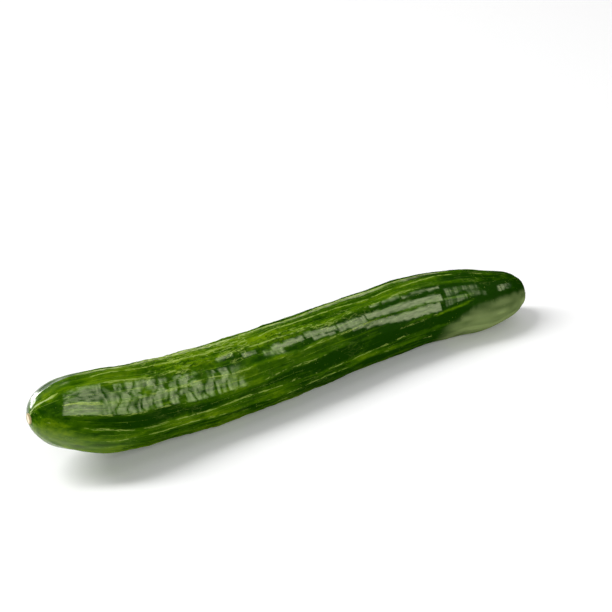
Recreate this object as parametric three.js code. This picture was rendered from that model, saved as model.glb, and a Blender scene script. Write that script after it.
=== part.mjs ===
// A greenhouse cucumber lying on its side, grown as one piece.
// Millimetres, +Z up. The blossom end is at -X, raised a little, and the stem end at +X.

import * as THREE from "three";

// Driving dimensions
const LENGTH = 337.2;
const GIRTH_RADIUS = 23.4;

// How thick the body is, as a share of GIRTH_RADIUS, by distance from the blossom end
const TAPER = [
  [0, 1],
  [30, 0.985],
  [42, 0.98],
  [60, 0.965],
  [80, 0.97],
  [100, 0.975],
  [119, 0.972],
  [161, 0.96],
  [216, 0.935],
  [266, 0.928],
  [290, 0.885],
  [308, 0.828],
  [LENGTH, 0.79],
];

// How far the body bends to the side, +Y, by distance from the blossom end
const BEND = [
  [0, -4],
  [17, -4.2],
  [37, -5.2],
  [60, -4.4],
  [80, -2.2],
  [100, -0.9],
  [119, -0.1],
  [150, 2],
  [173, 4.1],
  [214, 8.6],
  [241, 10.9],
  [263, 11.2],
  [286, 8.9],
  [304, 5],
  [LENGTH, 3.6],
];

// Rounded ends: how far each reaches along the body, and how blunt it is
const BLOSSOM_CAP = { reach: 50, power: 0.415 };
const STEM_CAP = { reach: 42, power: 0.39 };

// The blossom end rises off the surface but nods at its tip
const LIFT = 20;
const LIFT_REACH = 125;
const NOD = 4.1;
const NOD_REACH = 30;
const RESTING_FLAT_DEPTH = 1;

// Ribs, by the angle between each and the next, from just behind the top towards -Y
const FIRST_RIB = -17;
const RIB_GAPS = [18, 18, 28, 22, 20, 15, 19, 21, 18, 22, 19, 22, 18, 20, 19, 22, 18, 21];
const TALL_RIB = 0.9;
const LOW_RIB = 0.45;
const RIB_HALF_WIDTH = 2;
const RIB_STEM_SHARE = 0.35;
const FACET_FLATNESS = 0.8;
const RIB_TWIST = 3;
const WANDER = 2.2;

// Near the blossom scar the ribs crowd together round one angle, in degrees
const GATHER = 14;
const GATHER_ANGLE = 22;
const GATHER_REACH = 44;

// Height of the body's broad swellings
const SWELL = 0.15;

// Blossom scar, a low corky knob with a dished top: radius, and place along the axis
const SCAR = [
  [1.6, -0.25],
  [2.6, -0.35],
  [3.3, 0],
];

// Stem end, from the rim of its dimple to the dished cut face: radius, and height
const STUB = [
  [6.8, -1.9],
  [5.6, -1.9],
  [4.6, -2.1],
  [3.9, -1.2],
  [3.7, 0.2],
  [3.1, 0.5],
  [1.6, 0.2],
];
const SCAR_DISH = -0.1;
const STUB_DISH = 0;
const STEM_RADIUS = 4;
const STUB_SIDES = 5;
const STUB_SIDE_DEPTH = 0.06;

// Mesh density
const COLUMNS_PER_RIB = [0, 0.2, 0.5, 0.8];
const BLOSSOM_ROWS = 13;
const BODY_ROW_STEP = 8;
const STEM_ROWS = 9;
const BLOSSOM_START = 5;
const STEM_START = 22;

const TURN = 2 * Math.PI;
const degrees = THREE.MathUtils.degToRad;

// A smooth curve through [place, value] pairs, level past its ends
function through(knots, at) {
  const last = knots.length - 1;
  if (at <= knots[0][0]) return knots[0][1];
  if (at >= knots[last][0]) return knots[last][1];
  const i = knots.findIndex((knot) => knot[0] > at) - 1;
  const slope = (k) => {
    const [x0, y0] = knots[Math.max(k - 1, 0)];
    const [x1, y1] = knots[Math.min(k + 1, last)];
    return (y1 - y0) / (x1 - x0);
  };
  const [x0, y0] = knots[i];
  const [x1, y1] = knots[i + 1];
  const span = x1 - x0;
  const t = (at - x0) / span;
  const rise = t * t * (3 - 2 * t);
  const leaving = t * (1 - t) * (1 - t) * span * slope(i);
  const arriving = t * t * (t - 1) * span * slope(i + 1);
  return y0 + (y1 - y0) * rise + leaving + arriving;
}

function bodyRadius(x) {
  return GIRTH_RADIUS * through(TAPER, x);
}

// The share of the body's radius that a rounded end leaves, by distance from its tip
function capShare(cap, distance) {
  const left = THREE.MathUtils.clamp(1 - distance / cap.reach, 0, 1);
  return (1 - left * left) ** cap.power;
}

function skinRadius(x) {
  return bodyRadius(x) * capShare(BLOSSOM_CAP, x) * capShare(STEM_CAP, LENGTH - x);
}

// The middle of the body at a distance from the blossom end
function centre(x) {
  const raised = LIFT * Math.max(0, 1 - x / LIFT_REACH) ** 2;
  const nodded = NOD * Math.max(0, 1 - x / NOD_REACH) ** 2;
  const z = bodyRadius(x) + raised - nodded - RESTING_FLAT_DEPTH;
  return new THREE.Vector3(x, through(BEND, x), z);
}

// The body's direction, its upward side and its +Y side
function directions(x) {
  const step = 2;
  const from = centre(Math.max(x - step, 0));
  const forward = centre(Math.min(x + step, LENGTH)).sub(from).normalize();
  const side = new THREE.Vector3(0, 0, 1).cross(forward).normalize();
  const up = forward.clone().cross(side);
  return { forward, side, up };
}

// Each rib's angle, and how tall it is
const ribs = RIB_GAPS.map((gap, k) => ({
  angle: FIRST_RIB + RIB_GAPS.slice(0, k).reduce((sum, part) => sum + part, 0),
  gap,
  height: k % 2 === 0 ? TALL_RIB : LOW_RIB,
}));

// How far a rib strays round the body by a distance from the blossom end, in degrees
function stray(k, x) {
  const slow = Math.sin((TURN * x) / 118 + 2.1 * k);
  const quick = Math.sin((TURN * x) / 39 + 4.7 * k);
  const nearTip = 1 - THREE.MathUtils.smoothstep(x, 0, GATHER_REACH);
  const gathered = GATHER * nearTip * Math.sin(degrees(ribs[k].angle - GATHER_ANGLE));
  return (RIB_TWIST * x) / LENGTH - gathered + WANDER * (slow + 0.4 * quick);
}

function ribHeight(k, x) {
  const uneven = 0.78 + 0.22 * Math.sin((TURN * x) / 61 + 1.9 * k);
  const nearBlossom = THREE.MathUtils.smoothstep(x, 0, 34);
  const nearStem = THREE.MathUtils.smoothstep(x, 225, 325);
  const share = nearBlossom * (1 - (1 - RIB_STEM_SHARE) * nearStem);
  return ribs[k].height * uneven * share;
}

// The angle and height of the skin at a share of the way from rib k to the next
function ribbed(k, share, x, radius) {
  const next = (k + 1) % ribs.length;
  const own = ribs[k].angle + stray(k, x);
  const gap = ribs[k].gap + stray(next, x) - stray(k, x);
  const arc = (radius * degrees(gap)) / RIB_HALF_WIDTH;
  const ownCrest = ribHeight(k, x) * Math.exp(-((share * arc) ** 2));
  const nextCrest = ribHeight(next, x) * Math.exp(-(((1 - share) * arc) ** 2));
  const sag = radius * (1 - Math.cos(degrees(gap / 2)));
  const facet = FACET_FLATNESS * sag * 4 * share * (1 - share);
  return {
    angle: degrees(own + share * gap),
    height: ownCrest + nextCrest - facet,
  };
}

// Broad swellings of the whole body, which fade out towards the ends
function swelling(x, angle) {
  const fade = capShare(BLOSSOM_CAP, x) * capShare(STEM_CAP, LENGTH - x);
  const waves = Math.sin((TURN * x) / 47 + 1.5 * Math.sin(angle)) + Math.sin((TURN * x) / 29 + 2 * angle);
  return SWELL * fade * fade * waves;
}

// The columns of vertices that run along the body
const columns = ribs.flatMap((rib, k) => COLUMNS_PER_RIB.map((share) => ({ k, share })));

function placed(x, angle, radius, ahead) {
  const { forward, side, up } = directions(x);
  const point = centre(x).addScaledVector(forward, ahead);
  point.addScaledVector(up, radius * Math.cos(angle));
  point.addScaledVector(side, -radius * Math.sin(angle));
  point.z = Math.max(point.z, 0);
  return point;
}

// One ring of skin at a distance from the blossom end
function skinRing(x) {
  const radius = skinRadius(x);
  return columns.map(({ k, share }) => {
    const { angle, height } = ribbed(k, share, x, radius);
    return placed(x, angle, radius + height + swelling(x, angle), 0);
  });
}

// A plain ring at one tip of the body, at its own radius and height along the axis
function tipRing(x, radius, ahead, sides = 0) {
  return columns.map(({ k, share }) => {
    const { angle } = ribbed(k, share, x, radius);
    const sided = 1 + STUB_SIDE_DEPTH * Math.cos(sides * angle) * Math.sign(sides);
    return placed(x, angle, radius * sided, ahead);
  });
}

// Distances from the blossom end at which the body has a ring, closer together at the ends
function ringPlaces() {
  const places = [];
  for (let i = 0; i < BLOSSOM_ROWS; i += 1) {
    const angle = BLOSSOM_START + ((90 - BLOSSOM_START) * i) / BLOSSOM_ROWS;
    places.push(BLOSSOM_CAP.reach * (1 - Math.cos(degrees(angle))));
  }
  const straight = LENGTH - BLOSSOM_CAP.reach - STEM_CAP.reach;
  const bodyRows = Math.round(straight / BODY_ROW_STEP);
  for (let i = 0; i <= bodyRows; i += 1) {
    places.push(BLOSSOM_CAP.reach + (straight * i) / bodyRows);
  }
  for (let i = 1; i <= STEM_ROWS; i += 1) {
    const angle = 90 - ((90 - STEM_START) * i) / STEM_ROWS;
    places.push(LENGTH - STEM_CAP.reach * (1 - Math.cos(degrees(angle))));
  }
  return places;
}

// Joins rings of vertices, from the blossom end to the stem end, into one closed skin
function closedSkin(rings, firstPoint, lastPoint) {
  const points = [...rings.flat(), firstPoint, lastPoint];
  const first = points.length - 2;
  const last = points.length - 1;
  const width = columns.length;
  const index = [];
  for (let column = 0; column < width; column += 1) {
    const beside = (column + 1) % width;
    for (let row = 0; row < rings.length - 1; row += 1) {
      const a = row * width + column;
      const b = a + width;
      const c = (row + 1) * width + beside;
      const d = row * width + beside;
      index.push(a, d, c, a, c, b);
    }
    const end = (rings.length - 1) * width;
    index.push(first, beside, column);
    index.push(last, end + column, end + beside);
  }
  const geometry = new THREE.BufferGeometry().setFromPoints(points);
  geometry.setIndex(index);
  geometry.computeVertexNormals();
  return geometry;
}

function cucumberGeometry() {
  const scar = SCAR.map(([radius, height]) => tipRing(0, radius, height));
  const skin = ringPlaces().map((x) => skinRing(x));
  const stub = STUB.map(([radius, height]) => {
    return tipRing(LENGTH, radius, height, radius < STEM_RADIUS ? STUB_SIDES : 0);
  });
  const scarMiddle = placed(0, 0, 0, SCAR_DISH);
  const stubMiddle = placed(LENGTH, 0, 0, STUB_DISH);
  return closedSkin([...scar, ...skin, ...stub], scarMiddle, stubMiddle);
}

// Moves a geometry so that its box stands on the origin by the middle of its base
function standOnOrigin(geometry) {
  geometry.computeBoundingBox();
  const { min, max } = geometry.boundingBox;
  geometry.translate(-(min.x + max.x) / 2, -(min.y + max.y) / 2, -min.z);
  return geometry;
}

const skinFinish = new THREE.MeshStandardMaterial({
  color: 0x35600f,
  roughness: 0.35,
  metalness: 0,
});

const cucumber = new THREE.Mesh(standOnOrigin(cucumberGeometry()), skinFinish);
cucumber.name = "cucumber";

const group = new THREE.Group();
group.add(cucumber);

export default group;
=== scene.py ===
"""A greenhouse cucumber at its real size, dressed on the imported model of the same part.

Places are in metres, +Z up, with the blossom end at -X and the stem end at +X. The body's own
sizes are in millimetres along its length and round it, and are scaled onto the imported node's box.
"""

import logging
import math
from dataclasses import dataclass, field
from enum import Enum
from typing import Any, Sequence

import bpy
import numpy as np
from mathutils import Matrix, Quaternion, Vector


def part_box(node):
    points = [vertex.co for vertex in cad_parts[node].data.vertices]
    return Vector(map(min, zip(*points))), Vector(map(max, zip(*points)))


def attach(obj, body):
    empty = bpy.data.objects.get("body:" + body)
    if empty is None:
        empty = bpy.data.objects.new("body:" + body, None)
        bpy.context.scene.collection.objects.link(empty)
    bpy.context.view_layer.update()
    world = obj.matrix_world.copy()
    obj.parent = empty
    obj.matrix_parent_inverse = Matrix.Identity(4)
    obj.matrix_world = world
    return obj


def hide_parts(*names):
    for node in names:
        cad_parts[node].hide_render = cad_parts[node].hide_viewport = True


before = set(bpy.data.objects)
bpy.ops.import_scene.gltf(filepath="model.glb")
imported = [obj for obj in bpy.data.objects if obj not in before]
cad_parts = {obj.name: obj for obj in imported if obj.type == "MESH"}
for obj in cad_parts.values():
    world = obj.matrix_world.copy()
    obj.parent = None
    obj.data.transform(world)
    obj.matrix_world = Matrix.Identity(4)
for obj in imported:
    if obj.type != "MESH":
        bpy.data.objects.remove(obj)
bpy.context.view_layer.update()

NODE = "cucumber"
PIECE = "cucumber_fruit"
TURN = 2 * math.pi

# The places of a Mix node's colour sockets, whose names its other sockets have too.
MIX_COLOURS = 6, 7
MIX_RESULT = 2

log = logging.getLogger("cucumber")

Array = np.ndarray
Colour = tuple[float, float, float]
Knots = Sequence[tuple[float, float]]


def through(knots: Knots, at: Array) -> Array:
    """A smooth curve through pairs of place and value, level past its ends.

    Args:
        knots: pairs of place and value, in order of place.
        at: the places to read.

    Returns:
        The value at each place.
    """
    places, values = np.array(knots, float).T
    last = len(places) - 1
    before = np.maximum(np.arange(last + 1) - 1, 0)
    after = np.minimum(np.arange(last + 1) + 1, last)
    slope = (values[after] - values[before]) / (places[after] - places[before])
    at = np.clip(at, places[0], places[last])
    i = np.clip(np.searchsorted(places, at, side="right") - 1, 0, last - 1)
    span = places[i + 1] - places[i]
    t = (at - places[i]) / span
    rise = t * t * (3 - 2 * t)
    leaving = t * (1 - t) * (1 - t) * span * slope[i]
    arriving = t * t * (t - 1) * span * slope[i + 1]
    return values[i] + (values[i + 1] - values[i]) * rise + leaving + arriving


def smoothstep(low: float, high: float, at: Array) -> Array:
    """Rises smoothly from 0 at low to 1 at high."""
    t = np.clip((at - low) / (high - low), 0, 1)
    return t * t * (3 - 2 * t)


def unit(vectors: Array) -> Array:
    """The vectors at length 1."""
    return vectors / np.linalg.norm(vectors, axis=-1, keepdims=True)


@dataclass(frozen=True)
class Ramp:
    """A smooth change from one value to another.

    Attributes:
        start: where it starts.
        stop: where it is done.
        before: the value up to its start.
        after: the value past its stop.
    """

    start: float
    stop: float
    before: float = 0
    after: float = 1

    def __call__(self, at: Array) -> Array:
        """The value at each place."""
        return self.before + (self.after - self.before) * smoothstep(self.start, self.stop, at)


@dataclass(frozen=True)
class Hump:
    """A value that rises and falls smoothly round one place.

    Attributes:
        height: the value at its middle.
        middle: where that is.
        width: how far from there it falls to about a third.
    """

    height: float
    middle: float
    width: float

    def __call__(self, at: Array) -> Array:
        """The value at each place."""
        return self.height * np.exp(-(((at - self.middle) / self.width) ** 2))


@dataclass(frozen=True)
class Wave:
    """A value that waves along the body, out of step from rib to rib.

    Attributes:
        height: how far it goes up and down.
        length: the distance from one crest to the next.
        step: how far each rib is out of step with the one before, in radians.
    """

    height: float
    length: float
    step: float

    def __call__(self, x: Array, k: Array) -> Array:
        """The value at x on rib k."""
        return self.height * np.sin(TURN * x / self.length + self.step * k)


@dataclass
class Mottle:
    """Smooth seeded noise from -1 to 1 over space.

    Attributes:
        seed: picks the pattern.
        cells: how many cells the pattern has before it repeats.
    """

    seed: int
    cells: int = 48
    table: Array = field(init=False)

    def __post_init__(self) -> None:
        """Draws the values at the corners of the cells."""
        draw = np.random.default_rng(self.seed)
        self.table = draw.uniform(-1, 1, (self.cells,) * 3)

    def __call__(self, *place: Array) -> Array:
        """Reads the noise.

        Args:
            place: three arrays of places, in cells.

        Returns:
            The noise at each place.
        """
        axes = np.broadcast_arrays(*place)
        whole = [np.floor(axis).astype(int) for axis in axes]
        part = [axis - base for axis, base in zip(axes, whole)]
        part = [t * t * (3 - 2 * t) for t in part]
        total = np.zeros(axes[0].shape)
        for corner in range(8):
            step = [corner >> bit & 1 for bit in range(3)]
            weight = np.ones_like(total)
            for t, one in zip(part, step):
                weight = weight * (t if one else 1 - t)
            index = tuple((base + one) % self.cells for base, one in zip(whole, step))
            total += weight * self.table[index]
        return total

    def on(self, spot: "Spot", along: float, around: float) -> Array:
        """The noise on the skin, in cells so long along the body and so wide round it."""
        return self(spot.x / along, spot.across / around, spot.down / around)


@dataclass(frozen=True)
class RoundedEnd:
    """How one end of the body closes.

    Attributes:
        reach: how far the rounding runs along the body.
        power: how blunt it is; less is blunter.
    """

    reach: float
    power: float

    def share(self, distance: Array) -> Array:
        """The share of the body's radius that is left at a distance from the tip."""
        left = np.clip(1 - distance / self.reach, 0, 1)
        return (1 - left * left) ** self.power


@dataclass
class Ribs:
    """The ribs that run along the body, tall and low by turns.

    Attributes:
        first: the first rib's angle from the top towards -Y, in degrees.
        gaps: the angle between each rib and the next, in degrees.
        tall: the height of a tall rib.
        low: the height of a low rib.
        tall_start: the share of its height that a tall rib has near the blossom end.
        low_start: the same for a low rib.
        stem: the share that any rib has near the stem end.
        uneven: how a rib's height waves, as a share of it.
        half_width: how far from its crest a rib falls away.
        flatness: how flat the skin is between two ribs, up to 1.
        twist: how far the ribs turn round the body over its length, in degrees.
        wander: how each rib strays from its line, in degrees.
        gather: how far the ribs crowd together near the blossom scar, in degrees.
        gather_angle: the angle that they crowd round, in degrees.
        scar_rib: the number of the rib that runs into the scar, with a painted highlight along it there.
        veer: how far that rib veers from the others there, in degrees.
        pale: how strongly a pale line follows each rib; past 1 it is wider and brighter.
        pale_wave: how that waves.
        pale_start: the share of it near the blossom end.
        pale_top: the share of it past the middle of the ribs before scar_rib.
        pale_side: the same for the other ribs.
        pale_stem: how much of either share is lost near the stem end.
        scar_line_and_glint: how strong the line on scar_rib is beside the scar, up to where it stops; at
            its strongest it is a painted highlight.
        seams: the numbers of two ribs with a line near the blossom end, and how strong it is.
        seam_start: how those two lines start.
        seam_stop: how they stop.
    """

    first: float = -17
    gaps: tuple[int, ...] = (18, 18, 28, 22, 20, 15, 19, 21, 18, 22, 19, 22, 18, 20, 19, 22, 18, 21)
    tall: float = 0.9
    low: float = 0.45
    tall_start: Ramp = Ramp(0, 34)
    low_start: Ramp = Ramp(0, 60)
    stem: Ramp = Ramp(225, 325, 1, 0.35)
    uneven: Wave = Wave(0.22, 61, 1.9)
    half_width: float = 2
    flatness: float = 0.8
    twist: float = 3
    wander: tuple[Wave, ...] = (Wave(2.2, 118, 2.1), Wave(0.88, 39, 4.7))
    gather: Ramp = Ramp(0, 44, 14, 0)
    gather_angle: float = 22
    scar_rib: int = 2
    veer: Hump = Hump(6, 8, 6)
    pale: tuple[float, ...] = (
        1.45, 0.95, 0.9, 0.75, 0.5, 0.8, 0.7, 0.3, 0.8, 0.4, 0.6, 0.2, 0.7, 0.5, 0.8, 0.3, 0.6, 0.8,
    )
    pale_wave: Wave = Wave(0.25, 97, 2.6)
    pale_start: Ramp = Ramp(22, 40, 0.25, 1)
    pale_top: Ramp = Ramp(140, 200, 1, 0.9)
    pale_side: Ramp = Ramp(140, 200, 1, 0.65)
    pale_stem: Ramp = Ramp(250, 285, 0, 0.35)
    scar_line_and_glint: Ramp = Ramp(8, 17, 1.9, 0.3)
    seams: tuple[tuple[int, float], ...] = ((3, 1.15), (4, 0.6))
    seam_start: Ramp = Ramp(12, 17)
    seam_stop: Ramp = Ramp(31, 37, 1, 0)

    @property
    def count(self) -> int:
        """How many ribs there are."""
        return len(self.gaps)

    @property
    def angles(self) -> Array:
        """Each rib's angle from the top towards -Y, in degrees."""
        return self.first + np.concatenate([[0.0], np.cumsum(self.gaps)[:-1]])

    def stray(self, k: Array, x: Array, length: float) -> Array:
        """How far a rib strays round the body.

        Args:
            k: the rib's number.
            x: the distance from the blossom end.
            length: the body's length.

        Returns:
            An angle in degrees.
        """
        gathered = self.gather(x) * np.sin(np.radians(self.angles[k] - self.gather_angle))
        veered = self.veer(x) * (k == self.scar_rib)
        return self.twist * x / length - gathered + veered + sum(wave(x, k) for wave in self.wander)

    def height(self, k: Array, x: Array) -> Array:
        """The height of rib k at x."""
        full = np.where(k % 2 == 0, self.tall * self.tall_start(x), self.low * self.low_start(x))
        return full * (1 - self.uneven.height + self.uneven(x, k)) * self.stem(x)

    def paleness(self, k: Array, x: Array) -> Array:
        """How strongly a pale line follows a rib; beside the scar, the line on scar_rib is a painted
        highlight.

        Args:
            k: the rib's number.
            x: the distance from the blossom end.

        Returns:
            The strength there, as pale gives it.
        """
        kept = np.where(k < self.scar_rib, self.pale_top(x), self.pale_side(x)) - self.pale_stem(x)
        line = (np.array(self.pale)[k] + self.pale_wave(x, k)) * self.pale_start(x) * kept
        # Beside the scar the line on scar_rib is a painted highlight on the ridge.
        beside = self.scar_line_and_glint(x) * (k == self.scar_rib) * (x < self.scar_line_and_glint.stop)
        seam = sum(strength * (k == rib) for rib, strength in self.seams)
        return np.maximum(np.maximum(line, beside), seam * self.seam_start(x) * self.seam_stop(x))

    def skin(
        self, k: Array, share: Array, x: Array, radius: Array, length: float
    ) -> tuple[Array, Array, Array]:
        """The skin at a share of the way from rib k to the next.

        Args:
            k: the rib's number.
            share: the share of the way to the next rib.
            x: the distance from the blossom end.
            radius: the body's radius there.
            length: the body's length.

        Returns:
            The angle round the body, the height above its radius and the distance round the
            body past the nearest rib, which is negative before it.
        """
        gaps = np.array(self.gaps, float)
        after = (k + 1) % self.count
        gap = gaps[k] + self.stray(after, x, length) - self.stray(k, x, length)
        angle = self.angles[k] + self.stray(k, x, length) + share * gap
        arc = radius * np.radians(gap)
        crest = Hump(1, 0, self.half_width)
        own = self.height(k, x) * crest(share * arc)
        other = self.height(after, x) * crest((1 - share) * arc)
        sag = radius * (1 - np.cos(np.radians(gap / 2)))
        facet = self.flatness * sag * 4 * share * (1 - share)
        return np.radians(angle), own + other - facet, arc * np.where(share < 0.5, share, share - 1)


class Site(Enum):
    """What the mesh tells its material at each point.

    PLACE is the place on a straightened body, RIB the distance past the nearest rib and FROM_AXIS
    the distance from the middle of the body, all in millimetres. CREST is how strongly a pale line
    shows, which beside the scar is a painted highlight, LIVELY how strongly fine strokes and curls
    do, and TONE how much lighter the skin is, with a painted highlight and painted shade near the
    stem end. BLOOM is how much painted reflection of the floor lies on the skin. The others are
    shares.
    """

    PLACE = "place"
    RIB = "rib"
    CREST = "crest"
    TONE = "tone"
    LIVELY = "lively"
    GLOSS = "gloss"
    BLOOM = "bloom"
    FROM_AXIS = "from_axis"
    SCAR = "scar"
    STUB = "stub"
    CUT = "cut"


@dataclass(frozen=True)
class Spot:
    """Where on the skin each point is.

    Attributes:
        x: the distance from the blossom end.
        angle: the angle round the body.
        radius: the body's radius.
        strip: the number of the strip of skin between two ribs.
        share: the share of the way over that strip.
        rib: the distance round the body past the nearest rib.
    """

    x: Array
    angle: Array
    radius: Array
    strip: Array
    share: Array
    rib: Array

    @property
    def around(self) -> Array:
        """How many strips lie between here and the first rib."""
        return self.strip + self.share

    @property
    def across(self) -> Array:
        """The height above the middle of a straightened body."""
        return self.radius * np.cos(self.angle)

    @property
    def down(self) -> Array:
        """The distance towards -Y from the middle of a straightened body."""
        return self.radius * np.sin(self.angle)


@dataclass(frozen=True)
class GlossPanel:
    """A patch of smooth skin that shines.

    Attributes:
        start: where it starts, in millimetres from the blossom end.
        stop: where it stops.
        upper: how many strips round the body its upper edge is, at its start and its stop.
        lower: the same for its lower edge.
        hatch: how far fine cross lines break it up, up to 1.
        strength: how glossy it is, up to 1.
        blunt: the millimetres along it that count as one strip round it where it fades out.
        ragged: how far its edges stray, in strips.
        edge: how its gloss comes up over an edge, in strips.
    """

    start: float
    stop: float
    upper: tuple[float, float]
    lower: tuple[float, float]
    hatch: float = 0
    strength: float = 1
    blunt: float = 9
    ragged: float = 0.05
    edge: Ramp = Ramp(-0.04, 0.05)

    def cover(self, spot: Spot, stray: Array, ticks: Array) -> Array:
        """How much of the skin the panel covers.

        Args:
            spot: where on the skin.
            stray: how the panel's edges stray, from -1 to 1.
            ticks: the fine cross lines, from 0 to 1.

        Returns:
            A share for each point.
        """
        way = np.clip((spot.x - self.start) / (self.stop - self.start), 0, 1)
        above = spot.around - self.upper[0] - way * (self.upper[1] - self.upper[0])
        below = self.lower[0] + way * (self.lower[1] - self.lower[0]) - spot.around
        along = np.minimum(spot.x - self.start, self.stop - spot.x) / self.blunt
        inside = np.minimum(np.minimum(above, below), along) + self.ragged * stray
        return self.strength * self.edge(inside) * (1 - self.hatch * ticks)


@dataclass(frozen=True)
class StrewnPanels:
    """Panels of smooth skin strewn over some strips, each measure drawn from a range.

    Attributes:
        seed: picks the pattern.
        strips: the first strip that has them, and the one after the last.
        first: where the first panel of a strip starts.
        end: the place past which none starts.
        length: how long they are.
        gap: how far apart they are.
        upper: how far over its strip a panel's upper edge lies.
        breadth: how broad they are, in strips.
        hatch: how far fine cross lines break them up.
    """

    seed: int = 9
    strips: tuple[int, int] = (8, 17)
    first: tuple[float, float] = (40, 90)
    end: float = 260
    length: tuple[float, float] = (12, 48)
    gap: tuple[float, float] = (4, 40)
    upper: tuple[float, float] = (0.1, 0.5)
    breadth: tuple[float, float] = (0.2, 0.45)
    hatch: tuple[float, float] = (0, 0.5)

    def panels(self) -> list[GlossPanel]:
        """Draws the panels.

        Returns:
            The panels, strip by strip.
        """
        draw = np.random.default_rng(self.seed)
        strewn = []
        for strip in range(*self.strips):
            start = draw.uniform(*self.first)
            while start < self.end:
                stop = start + draw.uniform(*self.length)
                upper = strip + draw.uniform(*self.upper, 2)
                lower = upper + draw.uniform(*self.breadth, 2)
                hatch = draw.uniform(*self.hatch)
                strewn.append(GlossPanel(start, stop, tuple(upper), tuple(lower), hatch))
                start = stop + draw.uniform(*self.gap)
        return strewn


@dataclass
class SkinRelief:
    """The fine shape of the skin between and over the ribs, in millimetres.

    Attributes:
        swell: the height of the body's broad swellings.
        swell_lengths: the lengths of their two waves.
        pillow: how far the skin domes up between two cross creases.
        pillow_step: the usual distance between cross creases.
        pillow_start: the share of the domes near the blossom end.
        pillow_fade: the share of them past the middle.
        rib_clear: the share of them beside a rib.
        lean: how far the creases lean towards the stem end, per strip of skin up.
        bow: how far they bow towards the blossom end between two tall ribs.
        shift: how far they shift from one pair of strips to the next.
        strays: how far they stray in large and in small.
        patchy: the share of domes and grooves by patches of noise.
        dent: the depth of the uneven dents.
        pucker: the depth of the fine folds.
        smooth: the share of dents and folds near the blossom end.
        rough_start: how they grow to their full depth.
        rough_fade: the share of them past the middle.
        start: the share of dents, folds and grooves at the very blossom end.
        stem: the share of them near the stem end.
        groove: the groove beside each rib.
    """

    swell: float = 0.15
    swell_lengths: tuple[float, float] = (47, 29)
    pillow: float = 0.6
    pillow_step: float = 7.6
    pillow_start: Ramp = Ramp(30, 42)
    pillow_fade: Ramp = Ramp(120, 175, 1, 0.25)
    rib_clear: Ramp = Ramp(0.2, 2.2)
    lean: float = 3.5
    bow: float = 2.5
    shift: float = 4.3
    strays: tuple[float, float] = (3.6, 1.5)
    patchy: Ramp = Ramp(-0.5, 0.35, 0.45, 1)
    dent: float = 0.3
    pucker: float = 0.16
    smooth: float = 0.25
    rough_start: Ramp = Ramp(36, 58)
    rough_fade: Ramp = Ramp(130, 200, 1, 0.4)
    start: Ramp = Ramp(3, 45)
    stem: Ramp = Ramp(250, 320, 1, 0.5)
    groove: Hump = Hump(0.16, 1.3, 0.7)

    def __post_init__(self) -> None:
        """Seeds the patterns."""
        self.warp = Mottle(3)
        self.patches = Mottle(5)
        self.dents = Mottle(8)
        self.folds = Mottle(13)

    def swelling(self, x: Array, angle: Array, fade: Array) -> Array:
        """The body's broad swellings.

        Args:
            x: the distance from the blossom end.
            angle: the angle round the body.
            fade: the share of the radius that the rounded ends leave.

        Returns:
            The height to add to the skin.
        """
        long, short = self.swell_lengths
        waves = np.sin(TURN * x / long + 1.5 * np.sin(angle)) + np.sin(TURN * x / short + 2 * angle)
        return self.swell * fade * fade * waves

    def creases(self, spot: Spot) -> Array:
        """How many cross creases a spot is past, as they bow and stray.

        Args:
            spot: where on the skin.

        Returns:
            A number for each point, whole on a crease.
        """
        large, small = self.strays
        stray = large * self.warp.on(spot, along=15, around=8)
        stray = stray + small * self.warp.on(spot, along=5, around=3.5)
        off = spot.around % 2 - 1
        bowed = spot.x + self.lean * off - self.bow * off * off + self.shift * (spot.strip // 2)
        return (bowed + stray) / self.pillow_step

    def fine(self, spot: Spot) -> Array:
        """The relief that is too fine for the broad shape.

        Args:
            spot: where on the skin.

        Returns:
            The height to add to the skin.
        """
        x = spot.x
        crease = np.abs(np.sin(np.pi * self.creases(spot)))
        dome = 0.5 * crease + 0.5 * (1 - (1 - crease) ** 2)
        where = self.patchy(self.patches.on(spot, along=20, around=10))
        span = self.pillow_start(x) * self.pillow_fade(x) * self.rib_clear(np.abs(spot.rib))
        pillows = self.pillow * where * span * (dome - 0.6)
        dents = self.dents.on(spot, along=9, around=4.5)
        dents = dents + 0.5 * self.dents.on(spot, along=3.6, around=2.4)
        uneven = self.dent * dents + self.pucker * self.folds.on(spot, along=2, around=1.5)
        rough = self.smooth + (1 - self.smooth) * self.rough_start(x) * self.rough_fade(x)
        return pillows + self.start(x) * self.stem(x) * (rough * uneven - self.groove(spot.rib) * where)


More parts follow.
